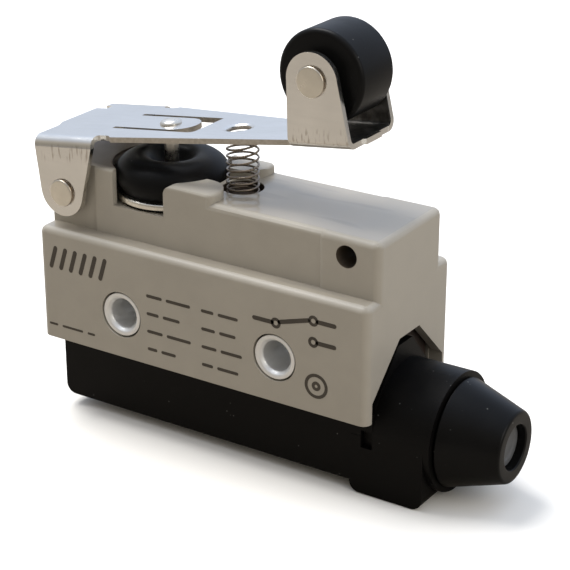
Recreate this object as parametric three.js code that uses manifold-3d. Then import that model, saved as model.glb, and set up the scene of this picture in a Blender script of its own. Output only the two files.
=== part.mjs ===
// Enclosed horizontal limit switch with a hinged roller lever.
// Units are millimetres, +Z is up, +X runs from the hinge end to the cable end.
// Origin: midway between the two mounting holes, on the back mounting face (its normal is +Y).
import * as THREE from 'three';
import { mergeVertices } from 'three/addons/utils/BufferGeometryUtils.js';
import Module from 'manifold-3d';

const wasm = await Module();
wasm.setup();

// ---------------------------------------------------------------- driving dimensions
const HOLE_PITCH = 25.4;          // mounting holes, centre to centre
const DEPTH = 21.6;               // between the two mounting faces
const GAP = 0.1;                  // between pieces that only touch

const HOUSING = {
  length: 54, bottom: -6.4, ledge: 10.3, top: 18.2, rimTop: 19.8, hornTop: 19.4,
  upperDepth: 15.9, cornerRadius: 1.2, edgeRadius: 0.9, wall: 1.6,
  cavityTop: 8.9, upperCavityTop: 12.9, rimEnd: 1.0, rimEndRadius: 3.6, channelHalf: 2.7,
  recessEnd: -18.7, recessDepth: 0.25, padStart: 17.5, padHeight: 0.25,
  cutTop: 3.2, cutTopHalf: 2.6, cutHalf: 9.4, cutShoulder: -3.5,
};
const SLEEVE = { outer: 3.15, bore: 2.15, chamfer: 0.35, seat: 3.4, inset: 0.15 };
const PLUNGER = { x: -11.3, radius: 1.0, top: 23.52, flange: 2.3, flangeLow: 12.0, flangeHigh: 12.7 };
const WELL = { radius: 8.3, floor: 14.7, seat: 7.4, seatFloor: 14.4, windowHalf: 4.3, windowX: -11.35, windowLow: 14.7, windowFlare: 1.4 };
const BOOT = {
  rootRadius: 7.25, rootLow: 14.45, rootHigh: 15.0, waist: 6.9, waistZ: 16.1,
  bulge: 8.05, bulgeZ: 18.4, crown: 5.2, crownZ: 21.0, lip: 1.15, lipZ: 18.7, skin: 0.9,
};
const RING = { outer: 7.85, inner: 7.0, low: 15.1, high: 16.0 };
const BUSH = { outer: 2.5, bore: 1.06, flange: 3.2, low: 12.95, flangeLow: 14.45, flangeHigh: 15.0, high: 15.9 };
const HINGE = { x: -23.3, z: 15.55, shaft: 1.45, bore: 1.55, head: 1.97, headHeight: 0.5 };
const TWIN_HOLE = { x: 22.05 };
const LEVER = {
  tilt: THREE.MathUtils.degToRad(7.38), top: 8.0, sheet: 0.75, bend: 1.5,
  heelEdge: -4.6, heelFront: -2.2, heelBack: 5.5, heelRelief: -2.7, reliefWidth: 1.4,
  earHalf: 9.5, earLeft: -3.8, earRadius: 3.65, earRight: 6.2,
  notchHalf: 7.45, notchStart: 6.5, notchEnd: 7.9, bladeStart: 8.6, bladeHalf: 8.1, taperEnd: 36.0, endHalf: 4.25, end: 45.3,
  tabHalf: 1.9, tabLength: 0.4,
};
const TONGUE = { start: 5.7, tip: 17.6, half: 3.0, slot: 0.75, end: 19.4, holeX: 24.5, hole: 1.65 };
const STUD = { x: 13.1, head: 1.55, headHeight: 0.6, shank: 0.8, foot: 1.2, footHeight: 0.35 };
const FORK = { x: 40.8, z: 16.2, half: 5.75, footHalf: 4.55, radius: 3.8 };
const ROLLER = { radius: 6.35, half: 4.0, hub: 2.6, hubHalf: 4.6, edge: 0.4, play: 0.22 };
const AXLE = { shaft: 1.45, bore: 1.55, head: 2.1, headHeight: 0.5 };
const SPRING = { x: 0.6, radius: 2.15, wire: 0.17, low: 17.2, recess: 2.95, turns: 10 };
const COVER = {
  left: -25.3, half: 8.25, bottom: -16.2, top: -5.8, wall: 1.5, corner: 1.5,
  blockLeft: 23.0, blockRight: 34.0, blockHalf: 8.3, blockBottom: -17.75, blockTop: -9.3,
  bossEnd: 34.0, bossHalf: 8.3, bossZ: -9.3, ringEnd: 34.85, duct: 3.9,
  plateLeft: 25.3, plateRight: 26.4, plateTop: 1.7, plateTopHalf: 1.9, plateHalf: 8.3, plateShoulder: -4.7,
  spigotEnd: 37.4, spigot: 4.7, windowX: 25.55, windowZ: -9.65, windowHalf: 0.85, windowTall: 1.25, windowDeep: 0.8,
};
const CAP = { left: 35.0, right: 43.2, base: 7.5, end: 4.95, bore: 3.1, socket: 4.9, socketEnd: 40.1, rim: 0.4 };
const SEAL = { left: 38.0, right: 39.7, outer: 4.75, inner: 3.05, washerLeft: 37.5, washerRight: 37.9 };
const BLANK = { left: 41.4, right: 42.0, radius: 3.0 };
const GASKET = { low: -5.75, high: -5.1, half: 9.0, inset: 1.75, land: 1.5 };
const BASE = { left: -24.6, right: 24.8, half: 8.6, low: -5.0, high: 3.95, bore: 3.2 };
const LID = { low: 4.05, high: 8.5, roof: 1.0, wall: 0.8, hole: 1.35 };
const BUTTON = { stem: 1.2, tip: 6.03, neck: 8.85, head: 2.2, top: 9.3 };
const OVERTRAVEL = { low: 9.36, high: 11.94, radius: 1.75, wire: 0.17, turns: 3 };
const BLADE = { pivotX: -18.9, low: 5.7, high: 5.95, end: 21.4, half: 2.2, contactX: 19.8, contact: 1.25 };
const STRIP = { half: 2.4, thick: 0.7, low: -6.2 };
const SCREW = { thread: 1.4, head: 2.3, headHeight: 1.6, reach: 2.4, slot: 0.5 };
const COVER_SCREW = { x: [-22.0, 9.6], thread: 1.3, head: 2.4, headHeight: 1.4, high: -3.0, pillar: 2.1, foot: 3.1 };

const MID_Y = -DEPTH / 2;         // the plane of symmetry
const HALF_L = HOUSING.length / 2;
const HALF_D = DEPTH / 2;
const UPPER_HALF = HOUSING.upperDepth / 2;
const HOLE_XS = [-HOLE_PITCH / 2, HOLE_PITCH / 2];

// ---------------------------------------------------------------- shape helpers
const X = new THREE.Vector3(1, 0, 0);
const Y = new THREE.Vector3(0, 1, 0);
const Z = new THREE.Vector3(0, 0, 1);
const MINUS_Y = new THREE.Vector3(0, -1, 0);

/** A closed three.js geometry as a solid that can be joined and cut. */
function solid(geometry) {
  geometry.deleteAttribute('normal');
  geometry.deleteAttribute('uv');
  const merged = mergeVertices(geometry, 1e-4);
  const vertProperties = new Float32Array(merged.attributes.position.array);
  const triVerts = new Uint32Array(merged.index.array);
  return new wasm.Manifold(new wasm.Mesh({ numProp: 3, vertProperties, triVerts }));
}

/** A solid back as a geometry that a mesh can carry. */
function toGeometry(body) {
  const { vertProperties, triVerts } = body.getMesh();
  const geometry = new THREE.BufferGeometry();
  geometry.setAttribute('position', new THREE.BufferAttribute(new Float32Array(vertProperties), 3));
  geometry.setIndex(new THREE.BufferAttribute(new Uint32Array(triVerts), 1));
  geometry.computeVertexNormals();
  return geometry;
}

function join(...bodies) {
  return bodies.reduce((sum, body) => sum.add(body));
}

function cut(body, ...tools) {
  return tools.reduce((rest, tool) => rest.subtract(tool), body);
}

function box(x0, x1, y0, y1, z0, z1) {
  const geometry = new THREE.BoxGeometry(x1 - x0, y1 - y0, z1 - z0);
  return solid(geometry.translate((x0 + x1) / 2, (y0 + y1) / 2, (z0 + z1) / 2));
}

function extrude(shape, depth, curveSegments = 10) {
  return new THREE.ExtrudeGeometry(shape, { depth, bevelEnabled: false, curveSegments });
}

/** An outline in X and Y, drawn up from z0 to z1. */
function prismZ(shape, z0, z1, curveSegments) {
  return solid(extrude(shape, z1 - z0, curveSegments).translate(0, 0, z0));
}

/** An outline in X and Z, drawn across from y0 to y1. */
function prismY(shape, y0, y1, curveSegments) {
  const geometry = extrude(shape, y1 - y0, curveSegments);
  geometry.applyMatrix4(new THREE.Matrix4().makeBasis(X, Z, MINUS_Y));
  return solid(geometry.translate(0, y1, 0));
}

/** An outline in Y and Z, drawn along from x0 to x1. */
function prismX(shape, x0, x1, curveSegments) {
  const geometry = extrude(shape, x1 - x0, curveSegments);
  geometry.applyMatrix4(new THREE.Matrix4().makeBasis(Y, Z, X));
  return solid(geometry.translate(x0, 0, 0));
}

/** A closed profile of [radius, height] points turned about the Z axis at (x, 0). */
function turned(profile, x = 0, segments = 32) {
  const points = profile.map(([radius, height]) => new THREE.Vector2(radius, height));
  const geometry = new THREE.LatheGeometry(points, segments);
  geometry.applyMatrix4(new THREE.Matrix4().makeBasis(X, Z, MINUS_Y));
  return solid(geometry.translate(x, 0, 0));
}

/** The same, turned about the Y axis through (x, z); height becomes y. */
function turnedY(profile, x, z, segments = 28) {
  const points = profile.map(([radius, height]) => new THREE.Vector2(radius, height));
  return solid(new THREE.LatheGeometry(points, segments).translate(x, 0, z));
}

/** The same, turned about the X axis at height z; height becomes x. */
function turnedX(profile, z, segments = 36) {
  const points = profile.map(([radius, height]) => new THREE.Vector2(radius, height));
  const geometry = new THREE.LatheGeometry(points, segments);
  geometry.applyMatrix4(new THREE.Matrix4().makeBasis(MINUS_Y, X, Z));
  return solid(geometry.translate(0, 0, z));
}

function rodY(radius, x, z, y0, y1, segments = 28) {
  return turnedY([[0, y0], [radius, y0], [radius, y1], [0, y1]], x, z, segments);
}

function rodZ(radius, x, z0, z1, segments = 28) {
  return turned([[0, z0], [radius, z0], [radius, z1], [0, z1]], x, segments);
}

/** A closed ring profile: outer radius, inner radius, low and high end. */
function ringProfile(outer, inner, low, high) {
  return [[inner, low], [outer, low], [outer, high], [inner, high], [inner, low]];
}

function outline(points) {
  const shape = new THREE.Shape();
  points.forEach(([a, b], i) => (i === 0 ? shape.moveTo(a, b) : shape.lineTo(a, b)));
  shape.closePath();
  return shape;
}

function roundedRectangle(x0, x1, y0, y1, radius) {
  const shape = new THREE.Shape();
  shape.moveTo(x0 + radius, y0);
  shape.lineTo(x1 - radius, y0);
  shape.absarc(x1 - radius, y0 + radius, radius, -Math.PI / 2, 0);
  shape.lineTo(x1, y1 - radius);
  shape.absarc(x1 - radius, y1 - radius, radius, 0, Math.PI / 2);
  shape.lineTo(x0 + radius, y1);
  shape.absarc(x0 + radius, y1 - radius, radius, Math.PI / 2, Math.PI);
  shape.lineTo(x0, y0 + radius);
  shape.absarc(x0 + radius, y0 + radius, radius, Math.PI, 1.5 * Math.PI);
  return shape;
}

/** A block with rounded upright corners whose top edge is rounded too. */
function roundedBlock(x0, x1, half, z0, z1, corner, edge) {
  const steps = 3;
  const shape = roundedRectangle(x0 + edge, x1 - edge, -half + edge, half - edge, corner - edge);
  const geometry = new THREE.ExtrudeGeometry(shape, {
    depth: z1 - z0, bevelEnabled: true, bevelThickness: edge, bevelSize: edge,
    bevelSegments: steps, curveSegments: 3,
  });
  const block = solid(geometry.translate(0, 0, z0 - edge));
  const floor = box(x0 - 1, x1 + 1, -half - 1, half + 1, z0 - 3 * edge, z0);
  return block.subtract(floor);
}

/** A wire coil about the Z axis, its first and last turns wound close. */
class Helix extends THREE.Curve {
  constructor({ radius, wire, low, high, turns }) {
    super();
    Object.assign(this, { radius, wire, low, high, turns });
  }

  getPoint(t) {
    const n = t * this.turns;
    const close = 2.15 * this.wire;
    const open = (this.high - this.low - 2 * this.wire - 2 * close) / (this.turns - 2);
    const z = this.low + this.wire + close * Math.min(n, 1)
      + open * THREE.MathUtils.clamp(n - 1, 0, this.turns - 2)
      + close * Math.max(n - this.turns + 1, 0);
    const angle = 2 * Math.PI * n;
    return new THREE.Vector3(this.radius * Math.cos(angle), this.radius * Math.sin(angle), z);
  }
}

function coil({ x, ...spring }) {
  const section = new THREE.Shape().absarc(0, 0, spring.wire, 0, 2 * Math.PI);
  const geometry = new THREE.ExtrudeGeometry(section, {
    steps: spring.turns * 14, bevelEnabled: false, extrudePath: new Helix(spring), curveSegments: 3,
  });
  return solid(geometry.translate(x, 0, 0));
}

// ---------------------------------------------------------------- colours
const finish = (color, roughness, metalness = 0) => ({ color, roughness, metalness });
const GREY_SHELL = finish(0x9d978b, 0.45);
const BLACK_SHELL = finish(0x26262a, 0.5);
const RUBBER = finish(0x151517, 0.4);
const STEEL = finish(0xb9b4a8, 0.3, 1);
const SPRING_STEEL = finish(0x7d766c, 0.35, 1);
const BRASS = finish(0xb08d4a, 0.35, 1);
const SILVER = finish(0xd2d2d0, 0.3, 1);
const BAKELITE = finish(0x33241c, 0.55);
const WHITE_NYLON = finish(0xd8d4c8, 0.5);
const FIBRE = finish(0x8a8f92, 0.8);

const meshes = new Map();

function piece(name, body, look) {
  const material = new THREE.MeshStandardMaterial({ ...look, name: `${name}_finish` });
  const mesh = new THREE.Mesh(toGeometry(body), material);
  mesh.name = name;
  meshes.set(name, mesh);
  return mesh;
}

// ---------------------------------------------------------------- housing
/** The outline of the opening in front of the boot, its upper right corner rounded outwards. */
function flaredWindow(top) {
  const left = WELL.windowX - WELL.windowHalf;
  const right = WELL.windowX + WELL.windowHalf;
  const flare = WELL.windowFlare;
  const shape = new THREE.Shape();
  shape.moveTo(left, WELL.windowLow);
  shape.lineTo(right, WELL.windowLow);
  shape.lineTo(right, top - flare);
  shape.absarc(right + flare, top - flare, flare, Math.PI, Math.PI / 2, true);
  shape.lineTo(right + flare, top + 1);
  shape.lineTo(left, top + 1);
  return shape;
}

function housing() {
  const h = HOUSING;
  const lower = roundedBlock(-HALF_L, HALF_L, HALF_D, h.bottom, h.ledge, h.cornerRadius, h.edgeRadius);
  const upper = roundedBlock(-HALF_L, HALF_L, UPPER_HALF, h.ledge - 2, h.top, h.cornerRadius, h.edgeRadius);
  const pad = roundedBlock(
    h.padStart, HALF_L, UPPER_HALF + h.padHeight, h.ledge - 2, h.top, h.cornerRadius, h.edgeRadius);
  const rimBlock = join(
    roundedBlock(-HALF_L, WELL.windowX, UPPER_HALF, h.top - 2, h.rimTop, h.cornerRadius, h.edgeRadius / 2),
    roundedBlock(WELL.windowX - 3, h.rimEnd, UPPER_HALF, h.top - 2, h.hornTop, h.cornerRadius, h.edgeRadius / 2));

  const e = h.rimEnd;
  const c = h.channelHalf;
  const r = h.rimEndRadius;
  const channel = new THREE.Shape();      // the open way between the two horns of the rim
  channel.moveTo(PLUNGER.x, -c);
  channel.lineTo(e - r, -c);
  channel.absarc(e - r, -c - r, r, Math.PI / 2, 0, true);
  channel.lineTo(e + 1, -c - r);
  channel.lineTo(e + 1, c + r);
  channel.lineTo(e, c + r);
  channel.absarc(e - r, c + r, r, 0, -Math.PI / 2, true);
  channel.lineTo(PLUNGER.x, c);
  const rim = rimBlock.subtract(prismZ(channel, h.top + 0.001, h.rimTop + 1, 6));

  const inX = HALF_L - h.wall;
  const inY = HALF_D - h.wall;
  const cavity = join(
    box(-inX, inX, -inY, inY, h.bottom - 1, h.cavityTop),
    box(-inX, inX, -UPPER_HALF + h.wall, UPPER_HALF - h.wall, h.cavityTop - 1, h.upperCavityTop));

  const well = join(
    rodZ(WELL.radius, PLUNGER.x, WELL.floor, h.rimTop + 1, 48),
    rodZ(WELL.seat, PLUNGER.x, WELL.seatFloor, WELL.floor + 1, 48));
  const window = prismY(flaredWindow(h.hornTop), -HALF_D, HALF_D, 6);
  const bushHole = rodZ(BUSH.outer + GAP, PLUNGER.x, h.upperCavityTop - 1, WELL.floor + 1);
  const springSeat = rodZ(SPRING.recess, SPRING.x, SPRING.low - 0.05, h.top + 1, 32);

  const earRecess = [-1, 1].map((side) => {
    const y0 = side * (UPPER_HALF - h.recessDepth);
    const y1 = side * HALF_D;
    return box(-HALF_L - 1, h.recessEnd, Math.min(y0, y1), Math.max(y0, y1), h.ledge + 0.02, h.rimTop + 1);
  });

  const throughHoles = [
    rodY(HINGE.bore, HINGE.x, HINGE.z, -HALF_D, HALF_D),
    rodY(HINGE.bore, TWIN_HOLE.x, HINGE.z, -HALF_D, HALF_D),
    ...HOLE_XS.map((x) => rodY(SLEEVE.seat, x, 0, -HALF_D - 1, HALF_D + 1, 36)),
  ];
  const endCut = prismX(outline([
    [-h.cutHalf, h.bottom - 1], [h.cutHalf, h.bottom - 1], [h.cutHalf, h.cutShoulder],
    [h.cutTopHalf, h.cutTop], [-h.cutTopHalf, h.cutTop], [-h.cutHalf, h.cutShoulder],
  ]), inX - 0.5, HALF_L + 1);

  const shell = join(lower, upper, pad, rim);
  return cut(shell, cavity, well, window, bushHole, springSeat, endCut, ...earRecess, ...throughHoles);
}

function mountingSleeve(x) {
  const y = HALF_D - SLEEVE.inset;
  const c = SLEEVE.chamfer;
  return turnedY([
    [SLEEVE.bore, -y + c], [SLEEVE.bore + c, -y], [SLEEVE.outer, -y], [SLEEVE.outer, y],
    [SLEEVE.bore + c, y], [SLEEVE.bore, y - c], [SLEEVE.bore, -y + c],
  ], x, 0, 36);
}

// ---------------------------------------------------------------- base cover and cable entry
function archShape(half, z, low) {
  const shape = new THREE.Shape();
  shape.moveTo(-half, low);
  shape.lineTo(half, low);
  shape.lineTo(half, z);
  shape.absarc(0, z, half, 0, Math.PI);
  return shape;
}

function baseCover() {
  const c = COVER;
  const tray = prismY(trayOutline(c.left, c.plateRight, c.bottom, c.top, c.corner), -c.half, c.half, 4);
  const block = prismY(
    trayOutline(c.blockLeft, c.blockRight, c.blockBottom, c.blockTop, c.corner), -c.blockHalf, c.blockHalf, 4);
  const boss = prismX(archShape(c.bossHalf, c.bossZ, c.bossZ - 4), c.plateLeft, c.bossEnd, 14);
  const plate = prismX(outline([
    [-c.plateHalf + 0.8, c.top - 3], [c.plateHalf - 0.8, c.top - 3], [c.plateHalf - 0.8, c.plateShoulder],
    [c.plateTopHalf, c.plateTop], [-c.plateTopHalf, c.plateTop], [-c.plateHalf + 0.8, c.plateShoulder],
  ]), c.plateLeft, c.plateRight);
  const ring = turnedX([[0, c.bossEnd - 1], [c.bossHalf, c.bossEnd - 1], [c.bossHalf, c.ringEnd], [0, c.ringEnd]],
    c.bossZ, 48);
  const spigot = turnedX([[0, c.bossEnd - 2], [c.spigot, c.bossEnd - 2], [c.spigot, c.spigotEnd], [0, c.spigotEnd]],
    c.bossZ);

  const hollow = box(
    c.left + c.wall, c.plateLeft, -c.half + c.wall, c.half - c.wall, c.bottom + c.wall, c.top + 1);
  const duct = turnedX([[0, c.plateLeft - 1], [c.duct, c.plateLeft - 1], [c.duct, c.spigotEnd + 1], [0, c.spigotEnd + 1]],
    c.bossZ);
  const window = box(
    c.windowX - c.windowHalf, c.windowX + c.windowHalf, -c.half - 1, -c.half + c.windowDeep,
    c.windowZ - c.windowTall, c.windowZ + c.windowTall);
  const s = COVER_SCREW;
  const pillars = s.x.map((x) => turned([
    [0, c.bottom + 0.5], [s.foot, c.bottom + 0.5], [s.foot, c.bottom + 3], [s.pillar, c.bottom + 4],
    [s.pillar, c.top - 1.2], [0, c.top - 1.2],
  ], x, 24));
  const screwHoles = s.x.map((x) => join(
    rodZ(s.thread + GAP, x, c.bottom - 1, c.top + 1, 20),
    rodZ(s.head + GAP, x, c.bottom - 1, c.bottom + s.headHeight + 0.4, 24)));

  const shell = cut(join(tray, block, boss, ring, plate, spigot), hollow, duct, window);
  return cut(join(shell, ...pillars), ...screwHoles);
}

/** An upright outline in X and Z, square at the top and rounded at its two low corners. */
function trayOutline(x0, x1, z0, z1, radius) {
  const shape = new THREE.Shape();
  shape.moveTo(x1, z1);
  shape.lineTo(x0, z1);
  shape.lineTo(x0, z0 + radius);
  shape.absarc(x0 + radius, z0 + radius, radius, Math.PI, 1.5 * Math.PI);
  shape.lineTo(x1 - radius, z0);
  shape.absarc(x1 - radius, z0 + radius, radius, -Math.PI / 2, 0);
  return shape;
}

function coverScrew(x) {
  const s = COVER_SCREW;
  const low = COVER.bottom + 0.3;
  const screw = turned([
    [0, low], [s.head, low], [s.head, low + s.headHeight], [s.thread, low + s.headHeight],
    [s.thread, s.high - 0.6], [s.thread - 0.5, s.high], [0, s.high],
  ], x, 20);
  const arm = s.head * 0.6;
  const slot = SCREW.slot / 2;
  return cut(screw,
    box(x - arm, x + arm, -slot, slot, low - 1, low + 0.8),
    box(x - slot, x + slot, -arm, arm, low - 1, low + 0.8));
}

function coverGasket() {
  const g = GASKET;
  const right = COVER.plateLeft - GAP;
  const outer = prismZ(roundedRectangle(-HALF_L + g.inset, right, -g.half, g.half, 0.8), g.low, g.high, 4);
  const inner = box(
    COVER.left + g.land, right - g.land, -COVER.half + g.land, COVER.half - g.land, g.low - 1, g.high + 1);
  return outer.subtract(inner);
}

function glandCap() {
  const c = CAP;
  return turnedX([
    [c.socket, c.left], [c.base - 0.2, c.left], [c.base, c.left + 0.25], [c.end + 0.1, c.right - c.rim],
    [c.end - c.rim, c.right], [c.bore + 0.2, c.right], [c.bore, c.right - 0.2], [c.bore, c.socketEnd],
    [c.socket, c.socketEnd], [c.socket, c.left],
  ], COVER.bossZ, 40);
}

function cableSeal() {
  return turnedX(ringProfile(SEAL.outer, SEAL.inner, SEAL.left, SEAL.right), COVER.bossZ, 32);
}

function sealWasher() {
  return turnedX(ringProfile(SEAL.outer, SEAL.inner + 0.4, SEAL.washerLeft, SEAL.washerRight), COVER.bossZ, 32);
}

/** The thin disc that closes the mouth of the cap until a cable is fitted. */
function entryBlank() {
  const b = BLANK;
  return turnedX([[0, b.left], [b.radius, b.left], [b.radius, b.right], [0, b.right]], COVER.bossZ, 32);
}

// ---------------------------------------------------------------- plunger, boot and springs
function bootBody() {
  const b = BOOT;
  const outside = new THREE.CatmullRomCurve3([
    [b.waist, b.waistZ], [b.bulge, b.bulgeZ - 0.9], [b.bulge - 0.1, b.bulgeZ + 0.6], [b.crown + 1.5, b.crownZ - 0.45],
    [b.crown, b.crownZ], [b.crown - 1.8, b.crownZ - 0.9], [b.lip + 0.7, b.lipZ + 0.8], [b.lip, b.lipZ + 0.7],
  ].map(([r, z]) => new THREE.Vector3(r, z, 0))).getPoints(13).map((p) => [p.x, p.y]);
  const inside = new THREE.CatmullRomCurve3([
    [b.lip, b.lipZ - 0.2], [b.lip + 1.0, b.lipZ - 0.3], [b.crown - 1.0, b.crownZ - 1.5], [b.crown + 0.6, b.crownZ - 1.1],
    [b.bulge - b.skin - 0.2, b.bulgeZ + 0.3], [b.bulge - b.skin - 0.1, b.bulgeZ - 0.9], [b.waist - b.skin, b.waistZ],
  ].map(([r, z]) => new THREE.Vector3(r, z, 0))).getPoints(9).map((p) => [p.x, p.y]);
  const inner = b.waist - b.skin;
  return turned([
    [inner, b.rootLow], [b.rootRadius, b.rootLow], [b.rootRadius, b.rootHigh], [b.waist, b.rootHigh + 0.05],
    ...outside, ...inside, [inner, b.rootLow],
  ], PLUNGER.x, 32);
}

function clampRing() {
  const r = RING;
  return turned([
    [r.inner, r.low], [r.outer, r.low], [r.outer, r.high - 0.15], [r.outer - 0.15, r.high],
    [r.inner, r.high], [r.inner, r.low],
  ], PLUNGER.x, 48);
}

function guideBush() {
  const b = BUSH;
  return turned([
    [b.bore, b.low], [b.outer, b.low], [b.outer, b.flangeLow], [b.flange, b.flangeLow], [b.flange, b.flangeHigh],
    [b.outer - 0.6, b.flangeHigh], [b.outer - 0.6, b.high], [b.bore, b.high], [b.bore, b.low],
  ], PLUNGER.x, 28);
}

function plungerPin() {
  const p = PLUNGER;
  return turned([
    [0, p.flangeLow], [p.flange, p.flangeLow], [p.flange, p.flangeHigh], [p.radius, p.flangeHigh],
    [p.radius, p.top - 0.5], [p.radius * 0.75, p.top - 0.15], [p.radius * 0.35, p.top], [0, p.top],
  ], p.x, 24);
}

function innerButton() {
  const b = BUTTON;
  return turned([
    [0, b.tip], [b.stem * 0.6, b.tip], [b.stem, b.tip + 0.5], [b.stem, b.neck], [b.head, b.neck], [b.head, b.top],
    [0, b.top],
  ], PLUNGER.x, 24);
}

// ---------------------------------------------------------------- contact mechanism
function switchBase() {
  const b = BASE;
  const block = box(b.left, b.right, -b.half, b.half, b.low, b.high);
  const bores = HOLE_XS.map((x) => rodY(b.bore, x, 0, -HALF_D, HALF_D, 36));
  const slots = Object.values(TERMINALS).map(({ x }) => box(
    x - GAP, x + STRIP.thick + GAP, -STRIP.half - GAP, STRIP.half + GAP, b.low - 1, b.high + 1));
  const armRoom = box(
    TERMINALS.open.x - GAP, TERMINALS.open.armEnd + 0.2, -STRIP.half - GAP, STRIP.half + GAP,
    TERMINALS.open.armLow - GAP, b.high + 1);
  const screwHoles = COVER_SCREW.x.map((x) => rodZ(COVER_SCREW.thread + GAP, x, b.low - 1, COVER_SCREW.high + 0.3, 20));
  const terminalHoles = Object.values(TERMINALS).map(({ screwX }) => rodZ(
    SCREW.thread + GAP, screwX, b.low - 1, b.low + 1.6, 20));
  return cut(block, ...bores, ...slots, armRoom, ...screwHoles, ...terminalHoles);
}

function switchLid() {
  const b = BASE;
  const l = LID;
  const block = box(b.left, b.right, -b.half, b.half, l.low, l.high);
  const chamber = box(
    b.left + l.wall, b.right - l.wall, -b.half + l.wall, b.half - l.wall, l.low - 1, l.high - l.roof);
  return cut(block, chamber, rodZ(l.hole, PLUNGER.x, l.low, l.high + 1, 24));
}

function snapBlade() {
  const b = BLADE;
  const left = b.pivotX - 0.6;
  const blade = box(left, b.end, -b.half, b.half, b.low, b.high);
  const slit = 0.5;
  const slits = [-1, 1].map((side) => {
    const y = side * b.half * 0.5;
    return box(PLUNGER.x + 4, b.end - 7, y - slit / 2, y + slit / 2, b.low - 1, b.high + 1);
  });
  const rivetHole = rodZ(b.contact * 0.5 + 0.05, b.contactX, b.low - 1, b.high + 1, 16);
  return cut(blade, ...slits, rivetHole);
}

function movingContact() {
  const b = BLADE;
  const head = 0.3;
  const stem = b.contact * 0.5;
  const gap = 0.04;
  return turned([
    [0, b.low - gap - head], [b.contact, b.low - gap - head], [b.contact, b.low - gap], [stem, b.low - gap],
    [stem, b.high + gap], [b.contact, b.high + gap], [b.contact, b.high + gap + head], [0, b.high + gap + head],
  ], b.contactX, 20);
}

const CONTACT = { height: 0.5, closedLow: 6.4, openHigh: 4.35 };
const TERMINALS = {
  common: { x: -19.3, top: 5.6, screwX: -14.6, arm: 0 },
  open: { x: 0.2, top: 3.75, screwX: 4.0, armEnd: 21.4, armLow: 3.4 },
  closed: { x: 22.7, top: 7.4, screwX: 18.6, armEnd: 18.4, armLow: 6.95 },
};

/** A bent strip: an upright through the base, a foot with a screw hole, and an arm to its contact. */
function terminal({ x, top, screwX, armEnd, armLow }) {
  const s = STRIP;
  const reach = 2.6;
  const footLeft = Math.min(x, screwX - reach);
  const footRight = Math.max(x + s.thick, screwX + reach);
  const parts = [
    box(x, x + s.thick, -s.half, s.half, s.low, top),
    box(footLeft, footRight, -s.half, s.half, s.low, s.low + s.thick),
  ];
  if (armEnd !== undefined) {
    parts.push(box(Math.min(x, armEnd), Math.max(x + s.thick, armEnd), -s.half, s.half, armLow, top));
  }
  return cut(join(...parts), rodZ(SCREW.thread + GAP, screwX, s.low - 1, s.low + s.thick + 0.5, 20));
}

function fixedContact(low) {
  return rodZ(BLADE.contact, BLADE.contactX, low, low + CONTACT.height, 20);
}

function terminalScrew(x) {
  const s = SCREW;
  const top = STRIP.low + s.reach;
  const seat = STRIP.low - GAP;
  const screw = turned([
    [0, seat - s.headHeight], [s.head, seat - s.headHeight], [s.head, seat], [s.thread, seat],
    [s.thread, top], [0, top],
  ], x, 20);
  const arm = s.head + 0.1;
  return cut(screw, box(x - arm, x + arm, -s.slot / 2, s.slot / 2, seat - s.headHeight - 1, seat - s.headHeight + 0.7));
}

// ---------------------------------------------------------------- lever, drawn about its hinge axis, plate level
/** Flat outline of the plate seen from above, in the lever's own X and Y. */
function plateOutline() {
  const l = LEVER;
  const root = l.earHalf - l.bend;
  const side = [
    [l.earLeft, root], [l.earRight, root], [l.earRight, l.notchHalf + 0.25], [l.notchStart, l.notchHalf],
    [l.notchEnd, l.notchHalf], [l.bladeStart - 0.35, l.notchHalf + 0.2], [l.bladeStart, l.bladeHalf - 0.1],
    [l.bladeStart + 0.15, l.bladeHalf], [l.taperEnd, l.endHalf], [l.end, l.endHalf],
    [l.end, l.tabHalf], [l.end + l.tabLength, l.tabHalf],
  ];
  const heel = [
    [l.earLeft, -l.heelBack + 1.6], [l.heelEdge, l.heelFront], [l.heelEdge, l.heelBack],
    [l.heelRelief, l.heelBack], [l.heelRelief, l.heelBack + l.reliefWidth], [l.earLeft, l.heelBack + l.reliefWidth],
  ];
  return outline([...heel, ...side, ...side.map(([x, y]) => [x, -y]).reverse()]);
}

/** A quarter bend of the sheet along X: from the plate's level down (-1) or up (+1), on side y = +1 or -1. */
function bend(x0, x1, half, side, way) {
  const l = LEVER;
  const inner = l.bend - l.sheet;
  const mid = way < 0 ? l.top - l.bend : l.top - l.sheet + l.bend;
  const shape = new THREE.Shape();
  const start = way < 0 ? Math.PI / 2 : -Math.PI / 2;
  const steps = 5;
  const arc = (radius) => Array.from({ length: steps + 1 }, (_, i) => {
    const a = start * (1 - i / steps);
    return [side * (half - l.bend + radius * Math.cos(a)), mid + radius * Math.sin(a)];
  });
  const points = [...arc(l.bend), ...arc(inner).reverse()];
  const ordered = THREE.ShapeUtils.isClockWise(points.map(([a, b]) => new THREE.Vector2(a, b)))
    ? points.reverse() : points;
  ordered.forEach(([a, b], i) => (i === 0 ? shape.moveTo(a, b) : shape.lineTo(a, b)));
  shape.closePath();
  return prismX(shape, x0, x1);
}

function hingeEarOutline() {
  const l = LEVER;
  const top = l.top - l.bend;
  const shape = new THREE.Shape();
  const lowAngle = THREE.MathUtils.degToRad(-18);
  shape.moveTo(l.earLeft, top);
  shape.lineTo(l.earLeft, 0.2);
  shape.absarc(l.earLeft + l.earRadius, 0.2, l.earRadius, Math.PI, 2 * Math.PI + lowAngle);
  shape.lineTo(l.earRight, top);
  return shape;
}

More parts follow.
